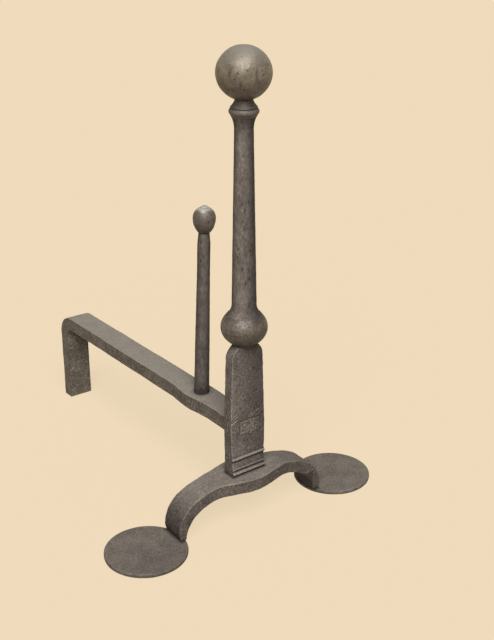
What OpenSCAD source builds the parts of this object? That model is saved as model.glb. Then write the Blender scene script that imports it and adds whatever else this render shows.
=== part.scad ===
// Wrought-iron andiron: a ball-topped column on an arched leg with two round feet,
// and a long bar that carries the logs behind a small guard post.
// Millimetres. X runs across the hearth, Y from front to back, Z up from the hearth.
// The origin lies on the hearth under the middle of the whole object.

/* [Arch leg] */
// Height of the arch's level top above the hearth
arch_h = 50; // [48:0.5:70]
// Thickness of the arch's bar
arch_t = 13; // [8:0.5:14]
// Half the length of the arch's level top
arch_level = 30; // [24:0.5:36]
// Outer radius of the long sweep out to each shoulder
sweep_r = 80; // [60:1:110]
// Angle turned by each sweep
sweep_a = 27; // [15:1:32]
// Distance from the column's axis to the outer side of each leg
leg_reach = 84.5; // [80:0.5:100]
// Thickness of each leg below its shoulder
leg_t = 8.5; // [8:0.5:12]
// How far each leg's outer side leans in down to the toe
toe_lean = 2; // [0:0.5:4]
// Thickness of each toe
toe_t = 8; // [7.5:0.5:11]
// How far each toe's lip stands past the inner edge of its foot
toe_lip = 1.2; // [0:0.1:2]
// Width of the bar, front to back, along the legs
leg_w = 27.5; // [20:0.5:34]
// Width of the swelled eye under the plinth
eye_w = 46; // [36:1:60]
// Distance from the axis at which the swelling has died away
eye_reach = 48; // [30:1:60]
// Turn of the arch under the plinth that brings its right leg forward, in degrees
arch_turn = 2; // [0:0.1:3]

/* [Feet] */
// Radius of each round foot
foot_r = 39.7; // [30:0.1:50]
// Thickness of each foot
foot_t = 4.8; // [4:0.2:8]
// Rounding of a foot's rim
foot_edge = 1.6; // [0.5:0.1:1.9]
// Radius of the pin under each toe
toe_pin_r = 1.6; // [1.2:0.1:1.7]

/* [Plinth] */
// Height of the plinth, from the arch to the lower ball
plinth_h = 134; // [110:1:160]
// Width at the bottom
plinth_w = 38; // [34:0.5:46]
// Width at its widest place
plinth_mid_w = 40; // [34:0.5:46]
// Height of its widest place above the plinth's bottom
plinth_mid_z = 50; // [20:1:90]
// Width below the shoulders
plinth_top_w = 35.5; // [28:0.5:38]
// Depth at the bottom
plinth_d = 12.4; // [11.8:0.1:18]
// Depth at the top
plinth_top_d = 11; // [10:0.1:16]
// Height of the rounded shoulders
plinth_shoulder_h = 10.5; // [5:0.5:12]
// Width of the neck that carries the lower ball
plinth_neck_w = 20; // [18.5:0.5:24]
// Radius of the round tenon through the arch's eye
plinth_tenon_r = 5; // [3:0.1:5.4]
// Height of the upper moulding above the plinth's bottom
moulding_z = 18; // [17:0.2:30]
// Radius of the upper moulding, which stands out in front by as much
moulding_r = 1.9; // [0.8:0.1:2.2]
// Height of the base in front, up to the top of its cove
base_h = 15; // [12:0.2:15.2]
// Height of the base's fillet, where the cove ends
base_fillet_z = 8; // [6.8:0.2:9]
// How far the base stands out in front
base_out = 1.4; // [1:0.1:4]
// Height of the lower moulding above the plinth's bottom
bead_z = 3; // [2.6:0.1:3.2]
// Radius of the lower moulding
bead_r = 1.6; // [1:0.1:2.4]
// Radius of the groove above the lower moulding
groove_r = 0.9; // [0.4:0.1:1.2]

/* [Column] */
// Radius of the lower ball at its widest
lower_ball_r = 22.1; // [18:0.1:28]
// Height of the lower ball's full curve above its widest place
lower_ball_top_h = 19; // [16:0.1:24]
// Depth of the lower ball's full curve below its widest place
lower_ball_low_h = 18.5; // [16:0.1:24]
// Radius of the flat on which the lower ball sits
lower_seat_r = 9.2; // [7:0.1:12]
// Visible length of the shaft, from the lower ball to the collar
shaft_l = 181; // [120:0.5:230]
// Radius of the shaft above its foot
shaft_r = 11.7; // [9.5:0.1:13]
// Radius of the shaft at its slimmest, below the collar
shaft_top_r = 8.7; // [7:0.1:9.2]
// Height of the hollow flare at the shaft's foot
foot_flare_h = 9; // [4:0.5:12]
// Radius of the hollow flare at the shaft's foot
foot_flare_r = 14.6; // [13:0.1:30]
// Height of the hollow flare under the collar
top_flare_h = 11; // [5:0.5:13]
// Radius of the hollow flare under the collar
top_flare_r = 26; // [20:1:60]
// Radius of the shaft's lower tenon
lower_tenon_r = 3.5; // [2.5:0.1:4.2]
// Radius of the shaft's upper tenon
upper_tenon_r = 4.5; // [3:0.1:5.5]
// Depth of the blind socket in the plinth
plinth_socket = 20; // [12:0.5:26]

/* [Collar and top ball] */
// Height of the collar
collar_h = 14.8; // [13.8:0.1:20]
// Height of the collar's ring above its lower edge
ring_z = 4.6; // [3.5:0.1:6]
// Greatest radius of the ring
ring_r = 13.4; // [12.6:0.1:15]
// Radius of the ring's rounded edge
ring_edge_r = 3; // [1.8:0.1:3.2]
// Radius of the hollow neck at its slimmest
neck_r = 8.2; // [7:0.1:9]
// Radius of the neck's hollow
neck_hollow_r = 7.9; // [7.3:0.1:9]
// Radius of the top ball at its widest
top_ball_r = 24.5; // [20:0.1:30]
// Half the height of the top ball's full curve
top_ball_h = 23.5; // [20:0.1:30]
// Depth of the blind socket in the top ball
ball_socket = 14; // [8:0.5:24]

/* [Billet bar] */
// Height of the bar's top above the hearth
bar_h = 106; // [90:1:130]
// Width of the bar
bar_w = 28; // [24:0.5:36]
// Thickness of the bar
bar_t = 15.5; // [13:0.5:20]
// Distance from the column's axis to the back of the rear leg
bar_reach = 341; // [220:1:480]
// Inner radius of the bend down to the rear leg
bar_bend_r = 9; // [4:0.5:30]
// Width of the tenon through the plinth
bar_tenon_w = 18; // [10:0.5:20]
// Height of the tenon through the plinth
bar_tenon_h = 11.5; // [7:0.5:12]
// How far the dressed end of the tenon stands out in front
bar_tenon_out = 0.5; // [0:0.1:1.5]

/* [Guard] */
// Distance from the column's axis back to the guard post
guard_y = 70.5; // [55:0.5:130]
// Lean of the guard post to the right, in degrees
guard_lean = 2.1; // [0:0.1:4]
// Length of the post from the bar to the knob
guard_l = 166.3; // [100:0.1:220]
// Radius of the post at the bar
guard_r = 7.8; // [7:0.1:10]
// Length of the post's stout lower end
guard_stout_l = 50; // [20:1:60]
// Radius at the top of the stout lower end
guard_stout_r = 7.4; // [7:0.1:9]
// Length over which the post then tapers
guard_taper_l = 75; // [20:1:80]
// Radius of the post along its slim upper part
guard_slim_r = 6.5; // [5.8:0.1:6.8]
// Length of the drawn-in end under the knob
guard_tip_l = 11; // [6:0.5:16]
// Radius of the post under the knob
guard_tip_r = 5.5; // [4.2:0.1:5.7]
// Radius of the tenon at each end of the post
guard_tenon_r = 3; // [2:0.1:3.4]
// Radius of the knob at its widest
knob_r = 11.2; // [8:0.1:14]
// Height of the knob below its widest place
knob_low_h = 14.6; // [10:0.1:20]
// Height of the knob's full curve above its widest place
knob_top_h = 11.1; // [9:0.1:16]
// Radius of the small flat on the knob's crown
knob_flat_r = 4; // [3.6:0.1:5]

/* [Joinery] */
// Clearance all round a tenon, pin or post in its hole
fit = 0.1; // [0.05:0.01:0.2]
// Height of a peened rivet head
head_h = 3; // [2:0.1:4]
// How far a peened head reaches out past its tenon
head_lap = 4; // [2.5:0.1:5]

/* [Hidden] */
$fn = 96;
// Overlap of two solids that are joined into one, and overshoot of a cut
eps = 1;
// Steps in each half of a curve that isn't a circle
curve_steps = 16;

// Half the height of a flattened ball between its widest place and radius r
function ball_rise(full_r, full_h, r) = full_h * sqrt(1 - pow(r / full_r, 2));

// Radius that a hollow flare reaches, starting upright at radius r
function flare_end(r, hollow_r, h) = r + hollow_r - sqrt(pow(hollow_r, 2) - pow(h, 2));

// Arch leg and feet
toe_x = leg_reach - toe_lean;
foot_x = toe_x - toe_t + toe_lip + foot_r;
toe_pin_x = toe_x - (toe_t - toe_lip) / 2;

// Column, upwards from the arch
plinth_top = arch_h + plinth_h;
plinth_shoulder_z = plinth_h - plinth_shoulder_h;
shaft_foot_r = flare_end(shaft_r, foot_flare_r, foot_flare_h);
shaft_head_r = flare_end(shaft_top_r, top_flare_r, top_flare_h);
lower_ball_low = ball_rise(lower_ball_r, lower_ball_low_h, lower_seat_r);
lower_ball_top = ball_rise(lower_ball_r, lower_ball_top_h, shaft_foot_r);
lower_ball_z = plinth_top + lower_ball_low;
shaft_z = lower_ball_z + lower_ball_top;
collar_z = shaft_z + shaft_l;
top_ball_seat = ball_rise(top_ball_r, top_ball_h, neck_r);
top_ball_z = collar_z + collar_h + top_ball_seat;

// Billet bar and guard post
bar_bottom = bar_h - bar_t;
bar_tenon_mid = bar_h - bar_tenon_h / 2;
bar_front = plinth_half_d(bar_bottom - arch_h);
knob_full_low_h = knob_low_h / sqrt(1 - pow(guard_tip_r / knob_r, 2));
knob_flat_h = ball_rise(knob_r, knob_top_h, knob_flat_r);
guard_crown_h = 1.2;

// The column stands where the middle of the whole object comes over the origin
column_y = (foot_r - bar_reach) / 2;

// Half the plinth's depth at a height above its bottom
function plinth_half_d(z) =
    (plinth_d + (plinth_top_d - plinth_d) * min(z / plinth_shoulder_z, 1)) / 2;

// Half the arch's width at a distance from the column's axis
function arch_half_w(x) = (leg_w + (eye_w - leg_w) * pow(cos(90 * min(x / eye_reach, 1)), 2)) / 2;

// Places its children on the column's axis, at a height above the hearth
module on_column(z = 0) {
    translate([0, column_y, z]) children();
}

// Places its children on the guard post's leaning axis, at a distance up from the bar's top
module on_guard(along = 0) {
    on_column(bar_h) translate([0, guard_y, 0]) rotate([0, guard_lean, 0])
        translate([0, 0, along]) children();
}

// Peened head: a low dome that hangs below z = 0
module peened_head(tenon_r) {
    head_r = tenon_r + head_lap;
    dome_r = (pow(head_r, 2) + pow(head_h, 2)) / (2 * head_h);
    rotate_extrude() intersection() {
        translate([0, dome_r - head_h]) circle(dome_r);
        translate([0, -head_h]) square([head_r, head_h]);
    }
}

// Half outline of a flattened ball between two cuts, measured from its widest place
module flat_ball_outline(r, low_h, low, top_h, top) {
    lower = [
        for (i = [0:curve_steps]) let (a = asin(low / low_h) * (1 - i / curve_steps))
            [r * cos(a), -low_h * sin(a)]
    ];
    upper = [
        for (i = [1:curve_steps]) let (a = asin(top / top_h) * i / curve_steps)
            [r * cos(a), top_h * sin(a)]
    ];
    polygon(concat([[0, top], [0, -low]], lower, upper));
}

module top_ball() {
    color("#5e574f") on_column(top_ball_z) rotate_extrude() difference() {
        flat_ball_outline(top_ball_r, top_ball_h, top_ball_seat, top_ball_h, top_ball_h);
        translate([0, -top_ball_seat - eps]) square([upper_tenon_r + fit, ball_socket + fit + eps]);
    }
}

module neck_collar() {
    ring_mid_r = ring_r - ring_edge_r;
    color("#575049") on_column(collar_z) rotate_extrude() difference() {
        union() {
            // Slope from the shaft's head up to the ring
            polygon([[0, 0], [shaft_head_r, 0], [ring_mid_r + ring_edge_r / 2, ring_z], [0, ring_z]]);
            // Ring
            translate([ring_mid_r, ring_z]) circle(ring_edge_r);
            // Hollow neck up to the ball
            difference() {
                translate([0, ring_z]) square([ring_mid_r + ring_edge_r / 2, collar_h - ring_z]);
                translate([neck_r + neck_hollow_r, collar_h]) circle(neck_hollow_r);
            }
        }
        translate([0, -eps]) square([upper_tenon_r + fit, collar_h + 2 * eps]);
    }
}

module shaft() {
    lower_tenon_l = lower_ball_top + lower_ball_low + plinth_socket;
    upper_tenon_l = collar_h + ball_socket;
    color("#554e48") on_column(shaft_z) rotate_extrude() {
        difference() {
            polygon([
                [0, 0],
                [shaft_foot_r, 0],
                [shaft_foot_r, foot_flare_h],
                [shaft_r, foot_flare_h],
                [shaft_top_r, shaft_l - top_flare_h],
                [shaft_head_r, shaft_l - top_flare_h],
                [shaft_head_r, shaft_l],
                [0, shaft_l]
            ]);
            // Hollow flares at the foot and under the collar
            translate([shaft_r + foot_flare_r, foot_flare_h]) circle(foot_flare_r);
            translate([shaft_top_r + top_flare_r, shaft_l - top_flare_h]) circle(top_flare_r);
        }
        translate([0, -lower_tenon_l]) square([lower_tenon_r, lower_tenon_l + eps]);
        translate([0, shaft_l - eps]) square([upper_tenon_r, upper_tenon_l + eps]);
    }
}

module lower_ball() {
    color("#5a534c") on_column(lower_ball_z) rotate_extrude() difference() {
        flat_ball_outline(
            lower_ball_r, lower_ball_low_h, lower_ball_low, lower_ball_top_h, lower_ball_top
        );
        translate([0, -lower_ball_low_h])
            square([lower_tenon_r + fit, lower_ball_low_h + lower_ball_top_h]);
    }
}

// Front view of the plinth: sides that swell a little, then shoulders on one arc up to the neck
module plinth_front_view() {
    half_top = plinth_top_w / 2;
    half_neck = plinth_neck_w / 2;
    rise = pow(plinth_h, 2) - pow(plinth_shoulder_z, 2);
    arc_z = (pow(half_neck, 2) - pow(half_top, 2) + rise) / (2 * plinth_shoulder_h);
    polygon([
        [-plinth_w / 2, 0],
        [plinth_w / 2, 0],
        [plinth_mid_w / 2, plinth_mid_z],
        [half_top, plinth_shoulder_z],
        [-half_top, plinth_shoulder_z],
        [-plinth_mid_w / 2, plinth_mid_z]
    ]);
    intersection() {
        translate([0, arc_z]) circle(norm([half_neck, plinth_h - arc_z]));
        translate([-half_top, plinth_shoulder_z - eps])
            square([plinth_top_w, plinth_shoulder_h + eps]);
    }
}

// Side view of the plinth, front towards -X: a slim taper with a moulded base across its front
module plinth_side_view() {
    base_front = -plinth_d / 2 - base_out;
    cove_top = -plinth_half_d(base_h);
    cove_h = base_h - base_fillet_z;
    cove_out = cove_top - base_front;
    cove_r = (pow(cove_h, 2) + pow(cove_out, 2)) / (2 * cove_out);
    difference() {
        polygon([
            [base_front, 0],
            [plinth_d / 2, 0],
            [plinth_top_d / 2, plinth_shoulder_z],
            [plinth_top_d / 2, plinth_h],
            [-plinth_top_d / 2, plinth_h],
            [-plinth_top_d / 2, plinth_shoulder_z],
            [cove_top, base_h],
            [base_front, base_h]
        ]);
        // Cove that sweeps out to the base's fillet
        intersection() {
            translate([cove_top - cove_r, base_h]) circle(cove_r);
            translate([base_front - eps, base_fillet_z]) square([cove_out + eps, cove_h + eps]);
        }
        // Groove over the lower moulding
        translate([base_front, bead_z + bead_r + groove_r]) circle(groove_r);
    }
    translate([-plinth_half_d(moulding_z), moulding_z]) circle(moulding_r);
    translate([base_front, bead_z]) circle(bead_r);
}

module plinth() {
    mortise_w = bar_tenon_w + 2 * fit;
    mortise_h = bar_tenon_h + 2 * fit;
    color("#58514a") {
        on_column(arch_h) difference() {
            intersection() {
                rotate([90, 0, 0]) translate([0, 0, -plinth_d])
                    linear_extrude(2 * plinth_d) plinth_front_view();
                rotate([90, 0, 90]) translate([0, 0, -plinth_w])
                    linear_extrude(2 * plinth_w) plinth_side_view();
            }
            // Socket for the shaft's lower tenon
            translate([0, 0, plinth_h - plinth_socket - fit])
                cylinder(r = lower_tenon_r + fit, h = plinth_socket + fit + eps);
            // Mortise for the billet bar's tenon
            translate([-mortise_w / 2, -plinth_d, bar_tenon_mid - arch_h - mortise_h / 2])
                cube([mortise_w, 2 * plinth_d, mortise_h]);
        }
        // Tenon through the arch's eye, peened underneath
        on_column(arch_h - arch_t) {
            translate([0, 0, -eps]) cylinder(r = plinth_tenon_r, h = arch_t + 2 * eps);
            peened_head(plinth_tenon_r);
        }
    }
}

// Front view of what lies under one side of the arch: level, long sweep, shoulder bend, leg
module arch_side(top, sweep, reach, toe) {
    sweep_end = arch_level + sweep * sin(sweep_a);
    bend_r = (reach - sweep_end) / (1 - sin(sweep_a));
    bend_x = reach - bend_r;
    bend_z = top - sweep * (1 - cos(sweep_a)) - bend_r * cos(sweep_a);
    translate([-eps, 0]) square([arch_level + eps, top]);
    intersection() {
        translate([arch_level, top - sweep]) circle(sweep);
        translate([arch_level, 0]) square([sweep_end - arch_level, top]);
    }
    intersection() {
        translate([bend_x, bend_z]) circle(bend_r);
        translate([sweep_end, bend_z]) square([reach - sweep_end, top]);
    }
    knee_z = max(bend_z, foot_t);
    polygon([[sweep_end, knee_z], [reach, knee_z], [toe, foot_t], [toe, 0], [sweep_end, 0]]);
}

module arch_front_view() {
    difference() {
        arch_side(arch_h, sweep_r, leg_reach, toe_x);
        arch_side(arch_h - arch_t, sweep_r - arch_t, leg_reach - leg_t, toe_x - toe_t);
        translate([0, -eps]) square([leg_reach, foot_t + eps]);
    }
}

// Plan of the arch: parallel sides that swell smoothly round the eye
module arch_plan() {
    swell = [for (i = [0:curve_steps]) let (x = i * eye_reach / curve_steps) [x, arch_half_w(x)]];
    back = concat(swell, [[leg_reach, leg_w / 2], [leg_reach, 0], [0, 0]]);
    for (flip_x = [0, 1], flip_y = [0, 1])
        mirror([flip_x, 0]) mirror([0, flip_y]) polygon(back);
}

module arch_leg() {
    color("#6b645b") on_column() rotate([0, 0, -arch_turn]) {
        difference() {
            intersection() {
                rotate([90, 0, 0]) translate([0, 0, -eye_w]) linear_extrude(2 * eye_w) {
                    arch_front_view();
                    mirror([1, 0]) arch_front_view();
                }
                linear_extrude(arch_h + eps) arch_plan();
            }
            translate([0, 0, arch_h - arch_t - eps])
                cylinder(r = plinth_tenon_r + fit, h = arch_t + 2 * eps);
        }
        // Pins through the feet, dressed flush underneath
        for (side = [-1, 1]) translate([side * toe_pin_x, 0, 0])
            cylinder(r = toe_pin_r, h = foot_t + eps);
    }
}

// A round foot: side is -1 for the left, 1 for the right
module penny_foot(side) {
    on_column() difference() {
        translate([side * foot_x, 0, 0]) rotate_extrude() {
            square([foot_r - foot_edge, foot_t]);
            translate([0, foot_edge]) square([foot_r, foot_t - 2 * foot_edge]);
            for (z = [foot_edge, foot_t - foot_edge])
                translate([foot_r - foot_edge, z]) circle(foot_edge);
        }
        rotate([0, 0, -arch_turn]) translate([side * toe_pin_x, 0, -eps])
            cylinder(r = toe_pin_r + fit, h = foot_t + 2 * eps);
    }
}

module left_foot() {
    color("#6a645b") penny_foot(-1);
}

module right_foot() {
    color("#6e675e") penny_foot(1);
}

// Side view of the billet bar, front towards -X: straight back, one bend, rear leg down
module bar_side_view() {
    bend_out_r = bar_bend_r + bar_t;
    bend_y = bar_reach - bend_out_r;
    bend_z = bar_h - bend_out_r;
    translate([bar_front, bar_bottom]) square([bend_y - bar_front + eps, bar_t]);
    translate([bend_y, bend_z]) intersection() {
        difference() {
            circle(bend_out_r);
            circle(bar_bend_r);
        }
        square(bend_out_r);
    }
    translate([bar_reach - bar_t, 0]) square([bar_t, bend_z + eps]);
}

module billet_bar() {
    tenon_l = bar_front + plinth_half_d(bar_tenon_mid - arch_h) + bar_tenon_out;
    color("#7a7166") difference() {
        on_column() {
            rotate([90, 0, 90]) translate([0, 0, -bar_w / 2]) linear_extrude(bar_w) bar_side_view();
            translate([-bar_tenon_w / 2, bar_front - tenon_l, bar_tenon_mid - bar_tenon_h / 2])
                cube([bar_tenon_w, tenon_l + eps, bar_tenon_h]);
        }
        on_guard(-2 * bar_t) cylinder(r = guard_tenon_r + fit, h = 3 * bar_t);
    }
}

module guard_post() {
    knob_flat = guard_l + knob_low_h + knob_flat_h;
    color("#5c554e") {
        // Stem, its foot cut to the bar's top
        difference() {
            on_guard() rotate_extrude() polygon([
                [0, -eps],
                [guard_r, -eps],
                [guard_stout_r, guard_stout_l],
                [guard_slim_r, guard_stout_l + guard_taper_l],
                [guard_slim_r, guard_l - guard_tip_l],
                [guard_tip_r, guard_l],
                [0, guard_l]
            ]);
            on_column(bar_bottom) translate([-bar_w, guard_y - bar_w, 0])
                cube([2 * bar_w, 2 * bar_w, bar_t]);
        }
        // Upper tenon through the knob, its end peened to a low crown
        on_guard(guard_l - eps) cylinder(r = guard_tenon_r, h = knob_flat - guard_l + eps + eps / 2);
        on_guard(knob_flat) cylinder(r1 = knob_flat_r, r2 = guard_tenon_r, h = guard_crown_h);
        // Lower tenon through the bar, peened underneath
        on_guard(-bar_t - eps) cylinder(r = guard_tenon_r, h = bar_t + 2 * eps);
        on_column(bar_bottom) translate([-bar_t * tan(guard_lean), guard_y, 0])
            peened_head(guard_tenon_r);
    }
}

module guard_ball() {
    color("#6f685f") on_guard(guard_l + knob_low_h) rotate_extrude() difference() {
        flat_ball_outline(knob_r, knob_full_low_h, knob_low_h, knob_top_h, knob_flat_h);
        translate([0, -knob_low_h - eps])
            square([guard_tenon_r + fit, knob_low_h + knob_top_h + 2 * eps]);
    }
}

top_ball();
neck_collar();
shaft();
lower_ball();
plinth();
arch_leg();
left_foot();
right_foot();
billet_bar();
guard_post();
guard_ball();
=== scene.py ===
"""A ball-topped wrought-iron andiron on a plain cream floor, with a wall of the same cream.

Sizes are in millimetres until MM turns them to metres. Only the camera, the floor and the wall
are given in metres. The column stands on its own axis at COLUMN_Y, and the billet bar runs from
it straight back along +Y.
"""
import math
import random

import bpy
from mathutils import Matrix, Vector


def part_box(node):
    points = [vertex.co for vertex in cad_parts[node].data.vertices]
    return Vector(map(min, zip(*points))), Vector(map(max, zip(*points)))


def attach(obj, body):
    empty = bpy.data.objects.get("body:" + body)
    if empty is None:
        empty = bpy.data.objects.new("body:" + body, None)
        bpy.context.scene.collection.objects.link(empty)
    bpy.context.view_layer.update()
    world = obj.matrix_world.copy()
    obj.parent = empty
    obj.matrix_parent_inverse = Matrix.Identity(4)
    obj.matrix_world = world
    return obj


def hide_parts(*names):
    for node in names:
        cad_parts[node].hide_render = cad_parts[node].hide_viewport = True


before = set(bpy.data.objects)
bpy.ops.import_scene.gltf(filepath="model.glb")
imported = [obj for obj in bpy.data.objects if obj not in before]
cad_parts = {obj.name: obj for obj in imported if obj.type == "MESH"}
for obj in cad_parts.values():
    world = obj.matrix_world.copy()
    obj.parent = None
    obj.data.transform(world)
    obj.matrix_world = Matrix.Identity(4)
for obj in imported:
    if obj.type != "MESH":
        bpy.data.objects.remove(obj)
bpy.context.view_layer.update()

MM = 0.001
SHAFT_LOW, SHAFT_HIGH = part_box("shaft")
COLUMN_Y = (SHAFT_LOW.y + SHAFT_HIGH.y) / 2
COLUMN_Y_MM = COLUMN_Y / MM

# ---------------------------------------------------------------- camera
# It stands in front of the andiron, to the left and above. It looks a little aside from the
# column, which frames the andiron as in the picture.
VIEW_AZIMUTH = math.radians(37.5)
VIEW_ELEVATION = math.radians(22.98)
VIEW_DISTANCE = 0.990
SENSOR, LENS = 36, 60.92
CLIP_NEAR, CLIP_FAR = 0.05, 50
LOOK_AT_HEIGHT = 0.225
LOOK_RIGHT, LOOK_UP = 0.00262, -0.01625

back = Vector((
    -math.sin(VIEW_AZIMUTH) * math.cos(VIEW_ELEVATION),
    -math.cos(VIEW_AZIMUTH) * math.cos(VIEW_ELEVATION),
    math.sin(VIEW_ELEVATION),
))
right = Vector((math.cos(VIEW_AZIMUTH), -math.sin(VIEW_AZIMUTH), 0))
up = back.cross(right)
target = Vector((0, COLUMN_Y, LOOK_AT_HEIGHT)) + right * LOOK_RIGHT + up * LOOK_UP
camera = bpy.data.objects.new("camera", bpy.data.cameras.new("camera"))
bpy.context.scene.collection.objects.link(camera)
camera.data.sensor_width = SENSOR
camera.data.lens = LENS
camera.data.clip_start, camera.data.clip_end = CLIP_NEAR, CLIP_FAR
camera.location = target + back * VIEW_DISTANCE
camera.rotation_mode = "QUATERNION"
camera.rotation_quaternion = Matrix((right, up, back)).transposed().to_quaternion()
bpy.context.scene.camera = camera

# ---------------------------------------------------------------- modelling
HOLLOW_STEPS = 8
# Corners of a CAD mesh closer than this are one corner
MERGE_REACH = 0.01
# A chisel's stroke takes the skin that lies this close to a face and looks to the front
STROKE_REACH, STROKE_TILT = 1.5, -0.5
# Faces that meet at less than this angle are shaded as one
SMOOTH_ANGLE = math.radians(40)


def deselect_all():
    """Leaves edit mode and leaves nothing selected."""
    if bpy.context.object and bpy.context.object.mode == "EDIT":
        bpy.ops.object.mode_set(mode="OBJECT")
    bpy.ops.object.select_all(action="DESELECT")


def pick(piece):
    """Makes a piece the only one selected."""
    deselect_all()
    bpy.context.view_layer.objects.active = piece
    piece.select_set(True)


def settle_place(piece):
    """Moves a piece's place and turn into its mesh."""
    pick(piece)
    bpy.ops.object.transform_apply(location=True, rotation=True, scale=True)


def turned(name, profile, sides):
    """A round piece on the column's axis, drawn ring by ring: profile holds (radius, height)."""
    deselect_all()
    radius, height = profile[0]
    bpy.ops.mesh.primitive_circle_add(
        vertices=sides, radius=radius * MM, fill_type="NGON", location=(0, COLUMN_Y, height * MM)
    )
    piece = bpy.context.object
    piece.name = piece.data.name = name
    bpy.ops.object.mode_set(mode="EDIT")
    bpy.ops.mesh.select_all(action="SELECT")
    for next_radius, next_height in profile[1:]:
        rise = (next_height - height) * MM
        grow = next_radius / radius
        bpy.ops.mesh.extrude_region_move(TRANSFORM_OT_translate={"value": (0, 0, rise)})
        bpy.ops.transform.resize(
            value=(grow, grow, 1), center_override=(0, COLUMN_Y, next_height * MM)
        )
        radius, height = next_radius, next_height
    bpy.ops.mesh.select_all(action="SELECT")
    bpy.ops.mesh.normals_make_consistent(inside=False)
    settle_place(piece)
    return piece


def steps(first, last, count):
    """Even steps from first to last, both of them included."""
    return [first + (last - first) * i / count for i in range(count + 1)]


def ball_rings(radius, low_height, top_height, centre, low_radius, top_radius, count):
    """Rings of a flattened ball, from the ring of low_radius up to the ring of top_radius."""
    start = -math.acos(low_radius / radius)
    end = math.acos(top_radius / radius)
    return [
        (radius * math.cos(a), centre + math.sin(a) * (top_height if a > 0 else low_height))
        for a in steps(start, end, count)
    ]


def round_edge(radius, edge_radius, height, degrees):
    """One ring of a round edge: degrees is how far it has turned up from level."""
    a = math.radians(degrees)
    return radius + edge_radius * math.cos(a), height + edge_radius * math.sin(a)


def hollow(upright_radius, arc_radius, height, base, opens_up):
    """Rings of a hollow flare that leaves an upright side, from base upwards."""
    rings = []
    for rise in steps(0, height, HOLLOW_STEPS):
        away = rise if opens_up else height - rise
        rings.append((
            upright_radius + arc_radius - math.sqrt(arc_radius**2 - away**2),
            base + rise,
        ))
    return rings


def copied(node, name):
    """A copy of a CAD node's mesh, its loose triangles merged, as a start for a forged piece."""
    deselect_all()
    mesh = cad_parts[node].data.copy()
    mesh.materials.clear()
    piece = bpy.data.objects.new(name, mesh)
    mesh.name = name
    bpy.context.scene.collection.objects.link(piece)
    pick(piece)
    bpy.ops.object.mode_set(mode="EDIT")
    bpy.ops.mesh.select_all(action="SELECT")
    bpy.ops.mesh.remove_doubles(threshold=MERGE_REACH * MM)
    bpy.ops.object.mode_set(mode="OBJECT")
    return piece


def finish_with(piece, kind, **settings):
    """Adds a modifier with its settings and applies it."""
    pick(piece)
    modifier = piece.modifiers.new(kind.lower(), kind)
    for key, value in settings.items():
        setattr(modifier, key, value)
    bpy.ops.object.modifier_apply(modifier=modifier.name)


def dents(name, kind, size):
    """A pattern of blows: VORONOI gives round hammer dents, CLOUDS gives waves and pits."""
    pattern = bpy.data.textures.new(name, kind)
    pattern.noise_scale = size * MM
    if kind == "VORONOI":
        pattern.distance_metric = "DISTANCE_SQUARED"
    else:
        pattern.noise_depth = 2
    return pattern


# How far apart the marks lie: a hand hammer's blows, the lighter blows on small work, the pits
# where scale broke off, and the waves left by heating and drawing a bar length by length
HAMMER_MARKS = dents("hammer marks", "VORONOI", 9)
SMALL_HAMMER_MARKS = dents("small hammer marks", "VORONOI", 5)
SCALE_PITS = dents("scale pits", "CLOUDS", 2.6)
FORGED_WAVES = dents("forged waves", "CLOUDS", 28)


def strike(piece, pattern, depth, level=1.0):
    """Sinks a pattern into the surface to a depth in millimetres. A level under 1 lets as much
    of it stand out as the level falls short."""
    finish_with(
        piece, "DISPLACE", texture=pattern, texture_coords="LOCAL", direction="NORMAL",
        strength=depth * MM, mid_level=level,
    )


def forge(piece, grain, easing):
    """Makes a piece one even skin of faces grain millimetres wide, with its edges eased."""
    finish_with(piece, "REMESH", mode="VOXEL", voxel_size=grain * MM, use_smooth_shade=True)
    finish_with(piece, "SMOOTH", factor=0.5, iterations=easing)


def chisel(piece, face_y, cuts):
    """Presses slim hollows into a face that looks to the front: (x0, z0, x1, z1, width, depth)."""
    widest = max(cut[4] for cut in cuts)
    low_z = min(min(cut[1], cut[3]) for cut in cuts) - widest
    high_z = max(max(cut[1], cut[3]) for cut in cuts) + widest
    for vertex in piece.data.vertices:
        x, y, z = vertex.co / MM
        if abs(y - face_y) > STROKE_REACH or vertex.normal.y > STROKE_TILT:
            continue
        if not low_z < z < high_z:
            continue
        sink = 0
        for x0, z0, x1, z1, width, depth in cuts:
            run, rise = x1 - x0, z1 - z0
            along = ((x - x0) * run + (z - z0) * rise) / (run**2 + rise**2)
            along = min(max(along, 0), 1)
            off = math.hypot(x - x0 - along * run, z - z0 - along * rise) / (width / 2)
            if off < 1:
                sink = max(sink, depth * (1 - off**2))
        vertex.co.y += sink * MM
    piece.data.update()


# ---------------------------------------------------------------- sizes of the pieces
ARCH_H, PLINTH_H = 50, 134
PLINTH_TOP = ARCH_H + PLINTH_H
BALL_R, BALL_LOW_H, BALL_TOP_H, BALL_SEAT_R = 22.1, 18.5, 19, 9.2
SHAFT_R, SHAFT_TOP_R, SHAFT_L = 11.7, 8.7, 181
FOOT_FLARE_H, FOOT_FLARE_R = 9, 14.6
# The shaft's foot is drawn down over the ball until the two surfaces meet without a step
WELD_H, WELD_R = 1.3, 13.8
TOP_FLARE_H, TOP_FLARE_R = 11, 26
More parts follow.
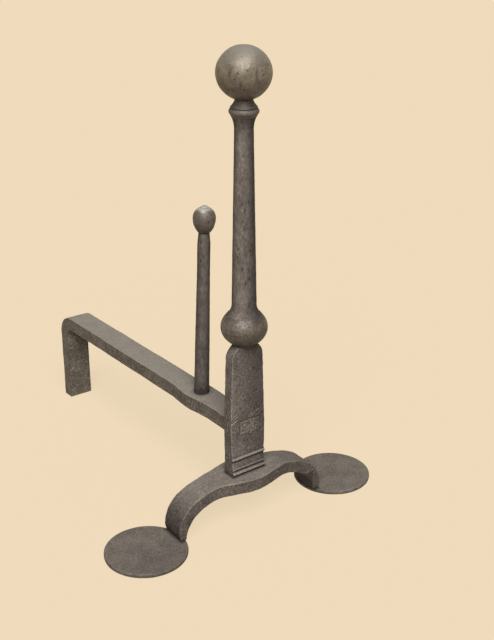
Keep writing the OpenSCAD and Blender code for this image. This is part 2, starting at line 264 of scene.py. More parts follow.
# The collar's ring has a round edge, from its slope at RING_FROM to its groove at RING_TO degrees
COLLAR_H, RING_Z, RING_R, RING_EDGE_R = 14.8, 4.6, 13.4, 3
RING_FROM, RING_TO = -50, 62
NECK_R = 8.2
NECK_GROOVE = ((11.0, 7.45), (10.9, 7.6), (11.2, 7.8), (12.1, 8.1))
NECK_FLARE = (
    (11.95, 8.4), (11.4, 9.0), (10.9, 9.6), (10.3, 10.3), (9.8, 11.0), (9.3, 11.7),
    (8.9, 12.4), (8.55, 13.1), (8.3, 13.8), (NECK_R, 14.4), (NECK_R, COLLAR_H),
)
TOP_BALL_R, TOP_BALL_H = 24.5, 23.5
FOOT_R, FOOT_T, FOOT_EDGE = 39.7, 4.8, 1.6
FOOT_X = 115.4
TOE_IN, TOE_OUT, LEG_W = 74.5, 82.5, 27.5
# The arch is turned a little on the plinth: its right toe comes forward, and its left goes back
TOE_TURN = 2.8
# The plinth's front face and the end of the bar's tenon stand this far before the column's axis
PLINTH_FRONT, TENON_FRONT = 5.95, 6.4
BAR_H, BAR_W, BAR_T, TENON_MID = 106, 28, 15.5, 100.25
# What lies further forward than this is the tenon's end, which is spread sideways and up
TENON_END_FROM, TENON_SPREAD = 5, (1.05, 1, 1.07)
GUARD_Y, GUARD_LEAN, GUARD_L = 70.5, 2.1, 166.3
GUARD_R, STOUT_R, SLIM_R, TIP_R = 7.8, 7.4, 6.5, 5.5
STOUT_H, SLIM_H, TIP_H = 50, 125, 11
GUARD_SINK, GUARD_TENON_R, HEAD_R, HEAD_H = 1, 3, 7, 3
KNOB_R, KNOB_LOW_H, KNOB_TOP_H, KNOB_FLAT_R = 11.2, 14.6, 11.1, 4
CROWN_H, CROWN_EDGE_R, CROWN_EDGE_H = 1.2, 3.7, 0.7
# The rings of a closed end begin or finish on a small circle round its middle
HEAD_PIP_R, CROWN_PIP_R, FOOT_PIP_R = 0.6, 0.4, 1
# Punching the guard post's hole has swelled the bar there, most of all on its left side
SWELL_Y, SWELL_REACH, SWELL_LEFT, SWELL_RIGHT = GUARD_Y + 4, 34, 2.6, 0.9

seat_r = hollow(SHAFT_R, FOOT_FLARE_R, FOOT_FLARE_H, 0, False)[0][0]
shaft_foot = hollow(SHAFT_R, WELD_R, FOOT_FLARE_H + WELD_H, -WELD_H, False)
shaft_head = hollow(SHAFT_TOP_R, TOP_FLARE_R, TOP_FLARE_H, SHAFT_L - TOP_FLARE_H, True)
shaft_head_r = shaft_head[-1][0]
ball_z = PLINTH_TOP + BALL_LOW_H * math.sqrt(1 - (BALL_SEAT_R / BALL_R) ** 2)
shaft_z = ball_z + BALL_TOP_H * math.sqrt(1 - (seat_r / BALL_R) ** 2)
collar_z = shaft_z + SHAFT_L
seat_z = collar_z + COLLAR_H
top_ball_z = seat_z + TOP_BALL_H * math.sqrt(1 - (NECK_R / TOP_BALL_R) ** 2)

# ---------------------------------------------------------------- column
# Lower ball: a bun flattened between the plinth's neck and the shaft
lower_ball = turned(
    "lower_ball_forged",
    ball_rings(BALL_R, BALL_LOW_H, BALL_TOP_H, ball_z, BALL_SEAT_R, seat_r, count=40),
    sides=96,
)
strike(lower_ball, HAMMER_MARKS, 0.25)
strike(lower_ball, SCALE_PITS, 0.15)

# Shaft: hollow foot, straight taper, hollow flare into the collar
taper_l = SHAFT_L - FOOT_FLARE_H - TOP_FLARE_H
shaft_taper = [
    (SHAFT_R + (SHAFT_TOP_R - SHAFT_R) * z / taper_l, FOOT_FLARE_H + z)
    for z in steps(0, taper_l, 90)[1:-1]
]
shaft = turned(
    "shaft_forged", [(r, shaft_z + z) for r, z in shaft_foot + shaft_taper + shaft_head], sides=72
)
strike(shaft, HAMMER_MARKS, 0.2)
strike(shaft, SCALE_PITS, 0.12)

# Collar: slope, swaged ring, narrow groove, then the neck's long flare up to the ball
ring = [
    round_edge(RING_R - RING_EDGE_R, RING_EDGE_R, RING_Z, a) for a in steps(RING_FROM, RING_TO, 14)
]
collar_profile = [(shaft_head_r, 0), *ring, *NECK_GROOVE, *NECK_FLARE]
collar = turned("neck_collar_swaged", [(r, collar_z + z) for r, z in collar_profile], sides=96)
strike(collar, SCALE_PITS, 0.1)

# Top ball: a cube subdivided and rounded, pressed a little flat and cut flat at its seat
centre = Vector((0, COLUMN_Y, top_ball_z * MM))
deselect_all()
bpy.ops.mesh.primitive_cube_add(size=2 * TOP_BALL_R * MM / math.sqrt(3), location=centre)
top_ball = bpy.context.object
top_ball.name = top_ball.data.name = "top_ball_forged"
bpy.ops.object.mode_set(mode="EDIT")
bpy.ops.mesh.select_all(action="SELECT")
bpy.ops.mesh.subdivide(number_cuts=59)
bpy.ops.transform.tosphere(value=1)
settle_place(top_ball)
rounded_r = max((v.co - centre).length for v in top_ball.data.vertices)
grow, rise = TOP_BALL_R * MM / rounded_r, TOP_BALL_H * MM / rounded_r
bpy.ops.object.mode_set(mode="EDIT")
bpy.ops.mesh.select_all(action="SELECT")
bpy.ops.transform.resize(value=(grow, grow, rise), center_override=centre)
bpy.ops.mesh.bisect(
    plane_co=(0, 0, seat_z * MM), plane_no=(0, 0, 1), clear_inner=True, use_fill=True
)
bpy.ops.object.mode_set(mode="OBJECT")
strike(top_ball, HAMMER_MARKS, 0.3)
strike(top_ball, SCALE_PITS, 0.15)

# ---------------------------------------------------------------- plinth, arch leg and bar
# Long tool strokes either side of where the bar's tenon comes through the plinth
STROKES = (
    (-19.2, 113.3, -12.8, 117.3, 1.8, 0.9),
    (-18.8, 109.8, -13.3, 113.6, 1.6, 0.8),
    (-19.6, 107.1, -13.7, 109.6, 1.6, 0.8),
    (1.6, 112.2, 14.5, 115.4, 1.9, 0.9),
    (10.3, 105.6, 16.4, 107.4, 1.6, 0.8),
)
# Spans of x and z: the rough patch of the plinth's face, and the end of the tenon in it
ROUGH_PATCH = ((-16, 17), (88, 120))
TENON_FACE = ((-9, 9), (94.5, 106))
SEAM_HALF_W, SEAM_HALF_H = 9.2, 5.9
chance = random.Random(11)


def peck(x, z, lengths, widths, depths, size=1.0):
    """One short stroke through x and z, struck at any angle: its spans are half-lengths, widths
    and depths."""
    turn, half = chance.uniform(0, math.pi), chance.uniform(*lengths) * size
    run, rise = half * math.cos(turn), half * math.sin(turn)
    width, depth = chance.uniform(*widths) * size, chance.uniform(*depths) * size
    return x - run, z - rise, x + run, z + rise, width, depth


def pecks(count, x_span, z_span, size=1.0):
    """Short strokes all over a part of a face."""
    marks = []
    for _ in range(count):
        x, z = chance.uniform(*x_span), chance.uniform(*z_span)
        marks.append(peck(x, z, (0.8, 2.0), (1.1, 1.8), (0.4, 0.75), size))
    return marks


def seam_pecks(count):
    """Short strokes across the seam between the tenon's end and its mortise."""
    marks = []
    for _ in range(count):
        x = chance.uniform(-SEAM_HALF_W, SEAM_HALF_W)
        z = chance.uniform(-SEAM_HALF_H, SEAM_HALF_H)
        if chance.random() < 0.6:
            z = math.copysign(SEAM_HALF_H, z)
        else:
            x = math.copysign(SEAM_HALF_W, x)
        marks.append(peck(x, TENON_MID + z, (0.8, 1.8), (1.2, 2.0), (0.4, 0.8)))
    return marks


seam = seam_pecks(34)
plinth = copied("plinth", "plinth_forged")
forge(plinth, grain=0.5, easing=4)
chisel(plinth, COLUMN_Y_MM - PLINTH_FRONT, [*STROKES, *pecks(46, *ROUGH_PATCH), *seam])
strike(plinth, FORGED_WAVES, 0.6, 0.5)
strike(plinth, SMALL_HAMMER_MARKS, 0.3, 0.4)
strike(plinth, SCALE_PITS, 0.25, 0.5)

arch_leg = copied("arch_leg", "arch_leg_forged")
forge(arch_leg, grain=0.65, easing=5)
strike(arch_leg, FORGED_WAVES, 1.0, 0.65)
strike(arch_leg, HAMMER_MARKS, 0.3, 0.4)
strike(arch_leg, SCALE_PITS, 0.15, 0.5)

# Billet bar: its tenon's end is spread over the mortise and left rough
billet_bar = copied("billet_bar", "billet_bar_forged")
pick(billet_bar)
skin = billet_bar.data
for vertex in skin.vertices:
    vertex.select = vertex.co.y < COLUMN_Y - TENON_END_FROM * MM
for part in (*skin.edges, *skin.polygons):
    part.select = all(skin.vertices[i].select for i in part.vertices)
bpy.ops.object.mode_set(mode="EDIT")
bpy.ops.transform.resize(value=TENON_SPREAD, center_override=(0, COLUMN_Y, TENON_MID * MM))
bpy.ops.object.mode_set(mode="OBJECT")
forge(billet_bar, grain=0.7, easing=4)
for vertex in billet_bar.data.vertices:
    off = (vertex.co.y - COLUMN_Y) / MM - SWELL_Y
    if abs(off) < SWELL_REACH:
        spread = (1 + math.cos(math.pi * off / SWELL_REACH)) / 2
        out = vertex.co.x / MM / (BAR_W / 2)
        vertex.co.x += spread * (SWELL_LEFT * min(out, 0) + SWELL_RIGHT * max(out, 0)) * MM
chisel(billet_bar, COLUMN_Y_MM - TENON_FRONT, pecks(26, *TENON_FACE, size=1.6) + seam)
strike(billet_bar, FORGED_WAVES, 0.9, 0.8)
strike(billet_bar, HAMMER_MARKS, 0.3)
strike(billet_bar, SCALE_PITS, 0.15)


# ---------------------------------------------------------------- round feet
def round_foot(name, x):
    """A flat disc with a rounded rim, drawn out from the middle of its underside."""
    rim_r = FOOT_R - FOOT_EDGE
    profile = [(r, 0) for r in steps(FOOT_PIP_R, rim_r, 24)]
    for a in steps(-75, 75, 10):
        height = FOOT_EDGE if a < 0 else FOOT_T - FOOT_EDGE
        profile.append(round_edge(rim_r, FOOT_EDGE, height, a))
    profile += [(r, FOOT_T) for r in steps(rim_r, FOOT_PIP_R, 34)]
    foot = turned(name, profile, sides=144)
    pick(foot)
    foot.location.x = x * MM
    settle_place(foot)
    strike(foot, HAMMER_MARKS, 0.2)
    strike(foot, SCALE_PITS, 0.15)
    return foot


left_foot = round_foot("left_foot_forged", -FOOT_X)
right_foot = round_foot("right_foot_forged", FOOT_X)


# ---------------------------------------------------------------- guard post
def lean(piece):
    """Carries a piece from the column's axis back to the guard's, and leans it to the right."""
    pick(piece)
    piece.location.y = GUARD_Y * MM
    settle_place(piece)
    bpy.ops.object.mode_set(mode="EDIT")
    bpy.ops.mesh.select_all(action="SELECT")
    bpy.ops.transform.rotate(
        value=-math.radians(GUARD_LEAN), orient_axis="Y",
        center_override=(0, COLUMN_Y + GUARD_Y * MM, BAR_H * MM),
    )
    bpy.ops.object.mode_set(mode="OBJECT")


knob_z = GUARD_L + KNOB_LOW_H
knob_flat_z = knob_z + KNOB_TOP_H * math.sqrt(1 - (KNOB_FLAT_R / KNOB_R) ** 2)
crown_z = knob_flat_z + CROWN_H

# Stem: peened head under the bar, tenon through it, stout foot, taper, drawn-in tip, and a
# tenon through the knob to its peened crown. Heights are measured from the bar's top.
head_dome_r = (HEAD_R**2 + HEAD_H**2) / (2 * HEAD_H)
head_base = -BAR_T - HEAD_H
stem_profile = [(HEAD_PIP_R, head_base)]
for rise in steps(0, HEAD_H, 6)[1:]:
    stem_profile.append((
        math.sqrt(head_dome_r**2 - (head_dome_r - rise) ** 2),
        head_base + rise,
    ))
stem_profile += [(GUARD_TENON_R, -BAR_T), (GUARD_TENON_R, -GUARD_SINK), (GUARD_R, -GUARD_SINK)]
for (r0, z0), (r1, z1), count in (
    ((GUARD_R, 0), (STOUT_R, STOUT_H), 34),
    ((STOUT_R, STOUT_H), (SLIM_R, SLIM_H), 50),
    ((SLIM_R, SLIM_H), (SLIM_R, GUARD_L - TIP_H), 20),
    ((SLIM_R, GUARD_L - TIP_H), (TIP_R, GUARD_L), 8),
):
    stem_profile += [
        (r0 + (r1 - r0) * t, z0 + (z1 - z0) * t) for t in steps(0, 1, count)[:-1]
    ]
stem_profile += [
    (TIP_R, GUARD_L), (GUARD_TENON_R, GUARD_L), (GUARD_TENON_R, knob_flat_z),
    (KNOB_FLAT_R, knob_flat_z), (CROWN_EDGE_R, knob_flat_z + CROWN_EDGE_H),
    (GUARD_TENON_R, crown_z), (GUARD_TENON_R / 2, crown_z), (CROWN_PIP_R, crown_z),
]
guard_post = turned("guard_post_forged", [(r, BAR_H + z) for r, z in stem_profile], sides=48)
lean(guard_post)
strike(guard_post, SMALL_HAMMER_MARKS, 0.2)
strike(guard_post, SCALE_PITS, 0.12)

# Knob: an egg, cut off below where it is as wide as the stem's tip
knob_full_low_h = KNOB_LOW_H / math.sqrt(1 - (TIP_R / KNOB_R) ** 2)
guard_ball = turned("guard_ball_forged", ball_rings(
    KNOB_R, knob_full_low_h, KNOB_TOP_H, BAR_H + knob_z, TIP_R, KNOB_FLAT_R, count=32
), sides=64)
lean(guard_ball)
strike(guard_ball, SMALL_HAMMER_MARKS, 0.2)
strike(guard_ball, SCALE_PITS, 0.1)

# ---------------------------------------------------------------- materials
# The dark serves for soot and for painted shade, the first pale for ash and for painted light on
# tops, and the last for the knob's rubbed crown with its painted glint
SOOT_AND_SHADE, ASH_AND_TOP_LIGHT, RUBBED_AND_GLINT = "#292527", "#b9b1a6", "#dcd5ca"
# Scale has a grain far finer than a millimetre: it is drawn as coarse as it needs to show
GRAIN_MM = 2.2
SPECK_MM = 5
# Runs of soot are this wide, and far longer than wide
STREAK_MM, STREAK_SQUEEZE = 4.5, 0.22
RELIEF_MM = 0.25
# Faces that look this way, to the left and a little to the front, get none of the painted shade on
# what is turned away
UNSHADED_WAY = (-0.85, -0.53, 0)


def srgb(code):
    """A hex colour as linear red, green, blue and alpha."""
    channels = [int(code[i:i + 2], 16) / 255 for i in (1, 3, 5)]
    return [c / 12.92 if c <= 0.04045 else ((c + 0.055) / 1.055) ** 2.4 for c in channels] + [1]


def add_node(tree, kind, inputs=(), **settings):
    """Adds a node with its settings; inputs are (socket, value or output socket to link)."""
    node = tree.nodes.new(kind)
    for key, value in settings.items():
        setattr(node, key, value)
    for socket, value in inputs:
        if isinstance(value, bpy.types.NodeSocket):
            tree.links.new(value, node.inputs[socket])
        else:
            node.inputs[socket].default_value = value
    return node


def away_from(tree, point, low, high):
    """How far a point lies from a box, whose two corners are given in millimetres."""
    middle = [(a + b) / 2 * MM for a, b in zip(low, high)]
    half = [(b - a) / 2 * MM for a, b in zip(low, high)]
    for operation, values in (
        ("SUBTRACT", [(1, middle)]), ("ABSOLUTE", []), ("SUBTRACT", [(1, half)]), ("MAXIMUM", []),
    ):
        node = add_node(
            tree, "ShaderNodeVectorMath", [(0, point), *values], operation=operation
        )
        point = node.outputs[0]
    length = add_node(tree, "ShaderNodeVectorMath", [(0, point)], operation="LENGTH")
    return length.outputs["Value"]


def layer(tree, under, colour, mask, start, end, most=1.0, where=None, ease="LINEAR"):
    """Lays a colour over what is under it: none of it where the mask's value is start, and most
    where it is end. where is a second mask with its own start and end, which thins the first."""
    share = add_node(tree, "ShaderNodeMapRange", [
        ("Value", mask), ("From Min", start), ("From Max", end), ("To Max", most),
    ], interpolation_type=ease)
    if where:
        also, also_start, also_end = where
        thinned = add_node(tree, "ShaderNodeMapRange", [
            ("Value", also), ("From Min", also_start), ("From Max", also_end),
        ])
        share = add_node(tree, "ShaderNodeMath", [
            (0, share.outputs[0]), (1, thinned.outputs[0]),
        ], operation="MULTIPLY")
    laid = add_node(tree, "ShaderNodeMix", [
        (0, share.outputs[0]), (6, under), (7, srgb(colour)),
    ], data_type="RGBA")
    return laid.outputs[2]


def turned_away_shade(tree, under, normal, strength):
    """Painted shade on what is turned away from the front and left: it grows with the angle, seen
    from above, between the way a face looks and the unshaded way. At the back it thins again."""
    level = add_node(tree, "ShaderNodeVectorMath", [
        (0, normal), (1, (1, 1, 0)),
    ], operation="MULTIPLY")
    level = add_node(tree, "ShaderNodeVectorMath", [
        (0, level.outputs[0]),
    ], operation="NORMALIZE")
    toward_unshaded = add_node(tree, "ShaderNodeVectorMath", [
        (0, level.outputs[0]), (1, UNSHADED_WAY),
    ], operation="DOT_PRODUCT")
    away = add_node(tree, "ShaderNodeMath", [
        (0, toward_unshaded.outputs["Value"]),
    ], operation="ARCCOSINE").outputs[0]
    return layer(tree, under, SOOT_AND_SHADE, away, 0.15, 1.3, strength, (away, 4.4, 1.9))


def soot_runs(tree, under, point, facing_up, strength):
    """Dark runs down the sides."""
    squeezed = add_node(tree, "ShaderNodeMapping", [
        ("Vector", point), ("Scale", (1, 1, STREAK_SQUEEZE)),
    ])
    run = add_node(tree, "ShaderNodeTexNoise", [
        ("Vector", squeezed.outputs[0]), ("Scale", 1 / (STREAK_MM * MM)), ("Detail", 1),
    ])
    return layer(
        tree, under, SOOT_AND_SHADE, run.outputs["Fac"], 0.37, 0.3, strength, (facing_up, 0.5, 0.2)
    )


def wrought_iron(
    name, shaded, body, worn, drawn=1.0, mottle_mm=16, grain=0.35, specks=0.8, streaks=0.0,
    edge=0.7, edge_from=0.53, hollow_dirt_and_shade=0.5, rough=0.68, metal=0.15, gleam=0.15, ash_and_light=0.1,
    soot_and_underside_shade=0.35, underside_tilts=(0.0, -0.8), away_shade=0.0, sides=0.0, marks=(),
):
    """Hand-forged iron under a thin grey scale: a dull sheen, a fine grain, sparse dark specks and
    pale rubbed edges, with painted highlights and painted shade laid into its colour.

    shaded, body and worn are its colours, from dark to pale, and mottle_mm is how wide its patches
    are. drawn under 1 stretches the pattern along Z, as on a drawn-out shaft. edge is how far the
    edges are rubbed pale and painted as a highlight, and edge_from the pointiness from which they
    count as edges. Grime and painted shade fill the hollows, and ashes and painted light lie on
    what faces up. Soot and painted shade lie on what faces down: they begin and are full at the
    two upward tilts given with them. The turned-away share is painted shade on what is turned away
    from the front and left, and sides is the painted shade on what looks left or right. marks are
    places painted darker or paler, each from mark()."""
    material = bpy.data.materials.new(name)
    material.use_nodes = True
    tree = material.node_tree
    tree.nodes.clear()
    place = add_node(tree, "ShaderNodeTexCoord")
    point, normal = place.outputs["Object"], place.outputs["Normal"]
    along = add_node(tree, "ShaderNodeMapping", [
        ("Vector", point), ("Scale", (1, 1, drawn)),
    ]).outputs[0]

    # Broad mottling of the scale
    mottle = add_node(tree, "ShaderNodeTexNoise", [
        ("Vector", along), ("Scale", 1 / (mottle_mm * MM)), ("Detail", 3), ("Roughness", 0.6),
    ]).outputs["Fac"]
    colour = layer(tree, srgb(shaded), body, mottle, 0.35, 0.65)

    # Fine grain of the scale: pale and dark
    fine = add_node(tree, "ShaderNodeTexNoise", [
        ("Vector", along), ("Scale", 1 / (GRAIN_MM * MM)), ("Detail", 3), ("Roughness", 0.7),
    ]).outputs["Fac"]
    colour = layer(tree, colour, worn, fine, 0.53, 0.7, grain)
    colour = layer(tree, colour, SOOT_AND_SHADE, fine, 0.46, 0.3, grain * 1.3)

    # Sparse dark specks where rust has bitten
    bitten = add_node(tree, "ShaderNodeTexVoronoi", [
        ("Vector", along), ("Scale", 1 / (SPECK_MM * MM)),
    ]).outputs["Distance"]
    colour = layer(tree, colour, SOOT_AND_SHADE, bitten, 0.24, 0.1, specks, (mottle, 0.56, 0.48))

    # Dirt and painted shade in the hollows, and edges rubbed by hands, tongs and logs, with a
    # painted highlight along them
    pointed = add_node(tree, "ShaderNodeNewGeometry").outputs["Pointiness"]
    colour = layer(tree, colour, SOOT_AND_SHADE, pointed, 0.49, 0.44, hollow_dirt_and_shade)
    colour = layer(tree, colour, worn, pointed, edge_from, edge_from + 0.03, edge)

    # Ash and a painted light on what faces up, and soot and painted shade on what faces down
    facing = add_node(tree, "ShaderNodeSeparateXYZ", [(0, normal)])
    facing_side, facing_up = facing.outputs["X"], facing.outputs["Z"]
    colour = layer(tree, colour, ASH_AND_TOP_LIGHT, facing_up, 0.4, 1.0, ash_and_light)
    colour = layer(tree, colour, SOOT_AND_SHADE, facing_up, *underside_tilts, soot_and_underside_shade)
    # Painted shade on what is turned away from the front and left
    if away_shade:
        colour = turned_away_shade(tree, colour, normal, away_shade)
    # Painted shade on what looks left or right
    if sides:
        sideways = add_node(tree, "ShaderNodeMath", [(0, facing_side)], operation="ABSOLUTE")
        colour = layer(tree, colour, SOOT_AND_SHADE, sideways.outputs[0], 0.3, 0.9, sides)
    if streaks:
        colour = soot_runs(tree, colour, point, facing_up, streaks)
    for low, high, reach, stain, strength in marks:
        away = away_from(tree, point, low, high)
        colour = layer(tree, colour, stain, away, reach * MM, 0, strength, ease="SMOOTHSTEP")

    dull = add_node(tree, "ShaderNodeMapRange", [
        ("Value", fine), ("From Min", 0.3), ("From Max", 0.7),
        ("To Min", rough + 0.08), ("To Max", rough - 0.05),
    ])
    relief = add_node(tree, "ShaderNodeBump", [
        ("Strength", 0.35), ("Distance", RELIEF_MM * MM), ("Height", fine),
    ])
    shader = add_node(tree, "ShaderNodeBsdfPrincipled", [
        ("Base Color", colour), ("Metallic", metal), ("Roughness", dull.outputs[0]),
        ("Normal", relief.outputs[0]), ("Specular IOR Level", gleam),
    ])
    add_node(tree, "ShaderNodeOutputMaterial", [("Surface", shader.outputs[0])])
    return material


def mark(x, y, z, reach, colour, strength):
    """A place painted darker or paler, used for painted shade, painted highlights, wear and tone:
    the spans of a box in millimetres, with y measured from the column's axis, and how far outside
    the box it has faded out."""
    y = (y[0] + COLUMN_Y_MM, y[1] + COLUMN_Y_MM)
    return (*zip(x, y, z), reach, colour, strength)


def leg_shade_mark(side, x_in, x_out, low, high, reach, strength):
    """Painted shade across one leg of the arch: side is -1 for the left leg and 1 for the right.
    """
    x = sorted((side * x_in, side * x_out))
    y = -side * TOE_TURN
    return mark(x, (y - LEG_W / 2, y + LEG_W / 2), (low, high), reach, SOOT_AND_SHADE, strength)


def front_band(height, half_height, y, reach, colour, strength):
    """A band across the mouldings at the foot of the plinth's front."""
    z = ARCH_H + height
    return mark((-21, 21), y, (z - half_height, z + half_height), reach, colour, strength)


# Painted shade, with some dirt, where the parts meet; painted shade in the mouldings' hollows and
# painted highlights on their ridges; and the tenon's end in the plinth's tone
TOE_CREASES = tuple(leg_shade_mark(side, TOE_IN, TOE_OUT, FOOT_T, FOOT_T, 4, 0.7) for side in (-1, 1))
PLINTH_CREASE = mark((-19, 19), (-7.6, 6.2), (ARCH_H, ARCH_H), 3.5, SOOT_AND_SHADE, 0.7)
POST_CREASE = mark((-3, 3), (GUARD_Y - 3, GUARD_Y + 3), (BAR_H, BAR_H), 10, SOOT_AND_SHADE, 0.7)
# Painted shade in the hollows of the mouldings
BASE_HOLLOW_SHADE = tuple(
    front_band(height, 0.2, (-12, -5.5), reach, SOOT_AND_SHADE, strength)
    for height, reach, strength in (
        (15.6, 1.6, 0.75), (5.5, 1.3, 0.75), (9.2, 1.0, 0.3), (20.3, 1.0, 0.4),
    )
)
# Painted highlights along the ridges of the mouldings
BASE_RIDGE_HIGHLIGHTS = tuple(
    front_band(height, 0.3, (-12, -6.9), 1.1, "#d0c5b8", strength)
    for height, strength in ((18.6, 0.35), (7.4, 0.25), (3.4, 0.3))
)
TENON_END = mark((-10, 10), (-8, -5.5), (TENON_MID - 6.5, TENON_MID + 6.5), 1, "#857b74", 0.7)

# Painted shade, and places painted darker
# Painted shade inside the arch's legs, and low down on them by the floor
LEG_SHADE = (
    leg_shade_mark(-1, 60, 74, 0, 26, 2.5, 0.6), leg_shade_mark(1, 60, 74, 0, 26, 2.5, 0.6),
    leg_shade_mark(-1, 60, 84, 0, 4, 22, 0.2), leg_shade_mark(1, 60, 84, 0, 4, 22, 0.35),
)
# Darker over the arch's right shoulder
RIGHT_SWEEP = mark((40, 60), (-14, 14), (ARCH_H - 12, ARCH_H), 16, SOOT_AND_SHADE, 0.2)
# Darker towards the front of the left foot
PAD_FRONT = mark((-FOOT_X - 25, -FOOT_X + 15), (-36, -24), (0, FOOT_T), 30, SOOT_AND_SHADE, 0.14)
# Painted shade over the plinth, darkest at its right side
RIGHT_SHADE = mark((19, 21), (-10, 7), (ARCH_H, PLINTH_TOP), 38, SOOT_AND_SHADE, 0.48)
# Painted shade where the shaft's foot meets the lower ball, on both pieces
SHAFT_FOOT_SHADE = mark((-16, 16), (-16, 16), (shaft_z - 2, shaft_z + 3), 12, SOOT_AND_SHADE, 0.12)
BALL_CROWN_SHADE = mark((-19, 19), (-19, 19), (shaft_z - 2, shaft_z + 3), 8, SOOT_AND_SHADE, 0.32)
# Painted shade on the shaft's head under the collar
SHAFT_HEAD_SHADE = mark((-12, 12), (-12, 12), (collar_z - 3, collar_z - 1), 18, SOOT_AND_SHADE, 0.25)
# The top ball's painted shadow on the collar's neck
NECK_SHADOW = mark((-12, 12), (-12, 12), (collar_z + 9, collar_z + 11), 4, SOOT_AND_SHADE, 0.28)
# Darker towards the guard post's foot
POST_FOOT = mark((-8, 8), (GUARD_Y - 8, GUARD_Y + 8), (BAR_H + 1, BAR_H + 5), 20, SOOT_AND_SHADE, 0.35)

# Painted highlights: along the plinth's front left edge, and a glint on the knob's rubbed crown
LEFT_EDGE_HIGHLIGHT = mark((-20.5, -16), (-7, -5.7), (ARCH_H + 24, PLINTH_TOP - 20), 2.5, "#d8cdc0", 0.06)
knob_x = math.sin(math.radians(GUARD_LEAN)) * knob_z
crown_low, crown_high = BAR_H + knob_flat_z - 1.5, BAR_H + knob_flat_z + 3
# The knob's crown is rubbed pale, with a painted glint on it
CROWN_RUB_AND_GLINT = mark(
    (knob_x - 5, knob_x + 5), (GUARD_Y - 5, GUARD_Y + 5), (crown_low, crown_high), 4, RUBBED_AND_GLINT, 0.8
)

# Planished, that is hammered smooth all over: a soft broad highlight, widened by ash and a painted
# light over the top, dark runs, and soot with painted shade on the lower half
BALL_IRON = wrought_iron(
    "planished wrought iron", "#81786a", "#958b7c", "#dbcfba", mottle_mm=11, grain=0.22,
    streaks=0.4, edge=0, rough=0.5, metal=0.4, gleam=0.3, ash_and_light=0.75, soot_and_underside_shade=0.42,
    underside_tilts=(0.25, -0.35),
)
# Forged round between hollow tools: the same sheen, with a coarser grain, a sooty underside that
# is partly painted shade, and painted shade on what is turned away from the front and left and on
# its crown under the shaft's foot
BUN_IRON = wrought_iron(
    "forged round wrought iron", "#756c64", "#8d8379", "#c9bfb1", mottle_mm=9, grain=0.4,
    streaks=0.25, edge=0, rough=0.5, metal=0.4, gleam=0.35, ash_and_light=0.1, soot_and_underside_shade=0.5,
    underside_tilts=(0.5, -0.1), away_shade=0.35, marks=(BALL_CROWN_SHADE,),
)
# Rubbed by hands and tongs: a soft sheen, palest on the peened crown, where a glint is painted,
# with painted shade on what looks left or right
KNOB_IRON = wrought_iron(
    "rubbed wrought iron", "#746b63", "#887e75", "#beb3a7", grain=0.3, edge=0.3,
    edge_from=0.56, rough=0.55, metal=0.35, gleam=0.3, soot_and_underside_shade=0.5, underside_tilts=(0.2, -0.5),
    sides=0.3, marks=(CROWN_RUB_AND_GLINT,),
)
# Drawn out under the hammer: its pattern runs lengthwise, and painted shade darkens what is turned
# away from the front and left, and its head and foot
SHAFT_IRON = wrought_iron(
    "drawn wrought iron", "#736a63", "#8c827a", "#c4bab0", drawn=0.55, mottle_mm=9,
    grain=0.35, specks=0.6, edge=0, away_shade=0.72, marks=(SHAFT_HEAD_SHADE, SHAFT_FOOT_SHADE),
)
# Swaged, that is pressed to shape in a grooved tool: a smooth skin, with dirt and painted shade in
# its groove, the top ball's painted shadow on its neck, and painted shade on what is turned away
COLLAR_IRON = wrought_iron(
    "swaged wrought iron", "#756c65", "#867c74", "#b3a9a0", grain=0.2, edge=0.3,
    edge_from=0.57, hollow_dirt_and_shade=0.8, rough=0.55, metal=0.25, soot_and_underside_shade=0.2, away_shade=0.3, marks=(NECK_SHADOW,),
)
# Hammered flat and left rough: a strong grain, pale ridges and edges with painted highlights,
# hollows with dirt and painted shade, and painted shade towards its right, on its sides and at its
# foot
PLINTH_IRON = wrought_iron(
    "hammered wrought iron", "#756c65", "#8d837b", "#d4c9bd", grain=0.5, edge=0.75, hollow_dirt_and_shade=0.8,
    away_shade=0.3, sides=0.17,
    marks=(PLINTH_CREASE, RIGHT_SHADE, LEFT_EDGE_HIGHLIGHT, *BASE_HOLLOW_SHADE, *BASE_RIDGE_HIGHLIGHTS),
)
# Forged and bent: dull, with ash and painted light along its top, and painted shade on its sides,
# inside its legs, at its toes and under the plinth
ARCH_IRON = wrought_iron(
    "forged wrought iron", "#69605a", "#7b7169", "#cbc0b3", grain=0.45, ash_and_light=0.25, soot_and_underside_shade=0.25,
    underside_tilts=(0.6, 0.0), sides=0.45,
    marks=(PLINTH_CREASE, RIGHT_SWEEP, *TOE_CREASES, *LEG_SHADE),
)
# Forged flat: dull and even, and pale only round the rim, which is worn and carries a painted
# highlight; painted shade lies at the toes, and it is darker towards the left foot's front
FOOT_IRON = wrought_iron(
    "flat-forged wrought iron", "#675f58", "#7b7169", "#b5ab9f", grain=0.4, edge=0.9,
    marks=(PAD_FRONT, *TOE_CREASES),
)
# Worn by the logs it carries: ash, a painted light and a pale grain on top, bright edges that are
# worn and carry a painted highlight, and painted shade round the guard post's foot
BAR_IRON = wrought_iron(
    "log-worn wrought iron", "#6c635a", "#82786d", "#dacfbd", mottle_mm=13, grain=0.45,
    edge=0.9, ash_and_light=0.45, soot_and_underside_shade=0.12, underside_tilts=(0.6, 0.0), marks=(POST_CREASE, TENON_END),
)
# Drawn thin, and nearest to the fire: its pattern runs lengthwise, with painted shade on both
# sides and round its foot, and a painted glint on its crown
POST_IRON = wrought_iron(
    "dark drawn wrought iron", "#6e655e", "#867c75", "#bfb4aa", drawn=0.5, mottle_mm=8,
    grain=0.35, edge=0.3, edge_from=0.57, away_shade=0.6, sides=0.35,
    marks=(POST_CREASE, POST_FOOT, CROWN_RUB_AND_GLINT),
)

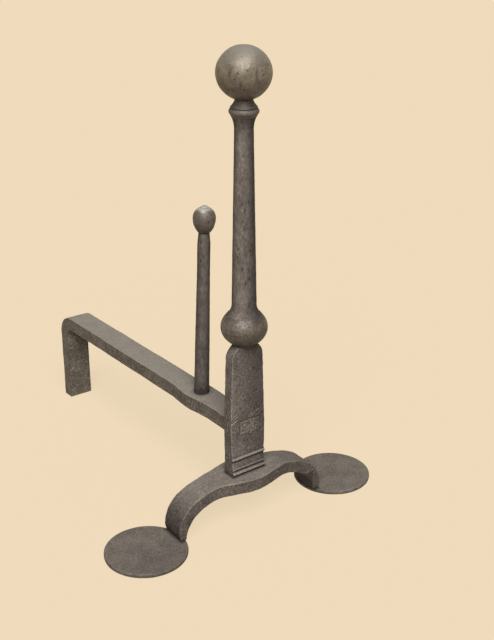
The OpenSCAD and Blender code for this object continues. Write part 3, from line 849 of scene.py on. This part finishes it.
PIECES = (
    (top_ball, "top_ball", BALL_IRON),
    (collar, "neck_collar", COLLAR_IRON),
    (shaft, "shaft", SHAFT_IRON),
    (lower_ball, "lower_ball", BUN_IRON),
    (plinth, "plinth", PLINTH_IRON),
    (arch_leg, "arch_leg", ARCH_IRON),
    (left_foot, "left_foot", FOOT_IRON),
    (right_foot, "right_foot", FOOT_IRON),
    (billet_bar, "billet_bar", BAR_IRON),
    (guard_post, "guard_post", POST_IRON),
    (guard_ball, "guard_ball", KNOB_IRON),
)
for piece, node, iron in PIECES:
    pick(piece)
    bpy.ops.object.shade_smooth_by_angle(angle=SMOOTH_ANGLE)
    piece.data.materials.clear()
    piece.data.materials.append(iron)
    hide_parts(node)
    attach(piece, "root")

# ---------------------------------------------------------------- floor, light and world
CREAM, FLOOR_BOUNCE = "#f1ddbd", "#918d88"
# How much of the floor's look is its own plain cream. The rest takes the light and the shadow.
CREAM_SHARE = 0.85
# The wall is far off, and lower than the lamp
FLOOR_SIZE, WALL_R, WALL_H = 30, 14.5, 5.2
# The lamp stands almost straight above the camera, about twice as high over the horizon
LAMP_AZIMUTH, LAMP_ELEVATION = math.radians(-34), math.radians(49)
LAMP_STRENGTH, LAMP_SOFTNESS, LAMP_COLOUR = 3.2, math.radians(40), (1, 0.99, 0.97)
SKY, SKY_STRENGTH = "#f7f5f2", 0.16

deselect_all()
bpy.ops.mesh.primitive_plane_add(size=FLOOR_SIZE, location=(0, 0, 0))
floor = bpy.context.object
floor.name = "floor"

# A round wall carries the floor's cream on behind the iron
deselect_all()
bpy.ops.mesh.primitive_cylinder_add(
    vertices=128, radius=WALL_R, depth=WALL_H, end_fill_type="NOTHING",
    location=(0, 0, WALL_H / 2),
)
backdrop = bpy.context.object
backdrop.name = "backdrop"
bpy.ops.object.shade_smooth()

# Seen straight or in the iron, both are cream; the light they throw back is a neutral grey
paint = bpy.data.materials.new("pale floor")
paint.use_nodes = True
tree = paint.node_tree
tree.nodes.clear()
matt = add_node(tree, "ShaderNodeBsdfDiffuse", [("Color", srgb(CREAM))])
glow = add_node(tree, "ShaderNodeEmission", [("Color", srgb(CREAM)), ("Strength", 1.0)])
seen = add_node(tree, "ShaderNodeMixShader", [
    (0, CREAM_SHARE), (1, matt.outputs[0]), (2, glow.outputs[0]),
])
plain = add_node(tree, "ShaderNodeBsdfDiffuse", [("Color", srgb(FLOOR_BOUNCE))])
path = add_node(tree, "ShaderNodeLightPath")
looked_at = path.outputs["Is Camera Ray"]
for ray in ("Is Glossy Ray", "Is Transmission Ray"):
    looked_at = add_node(tree, "ShaderNodeMath", [
        (0, looked_at), (1, path.outputs[ray]),
    ], operation="MAXIMUM").outputs[0]
blend = add_node(tree, "ShaderNodeMixShader", [
    (0, looked_at), (1, plain.outputs[0]), (2, seen.outputs[0]),
])
add_node(tree, "ShaderNodeOutputMaterial", [("Surface", blend.outputs[0])])
for surface in (floor, backdrop):
    surface.data.materials.append(paint)

lamp = bpy.data.objects.new("key lamp", bpy.data.lights.new("key lamp", "SUN"))
bpy.context.scene.collection.objects.link(lamp)
lamp.data.energy = LAMP_STRENGTH
lamp.data.angle = LAMP_SOFTNESS
lamp.data.color = LAMP_COLOUR
lampward = Vector((
    math.sin(LAMP_AZIMUTH) * math.cos(LAMP_ELEVATION),
    -math.cos(LAMP_AZIMUTH) * math.cos(LAMP_ELEVATION),
    math.sin(LAMP_ELEVATION),
))
lamp.rotation_mode = "QUATERNION"
lamp.rotation_quaternion = lampward.to_track_quat("Z", "Y")

world = bpy.data.worlds.new("studio")
bpy.context.scene.world = world
world.use_nodes = True
world.node_tree.nodes.clear()
sky = add_node(world.node_tree, "ShaderNodeBackground", [
    ("Color", srgb(SKY)), ("Strength", SKY_STRENGTH),
])
add_node(world.node_tree, "ShaderNodeOutputWorld", [("Surface", sky.outputs[0])])
bpy.context.scene.view_settings.view_transform = "Standard"
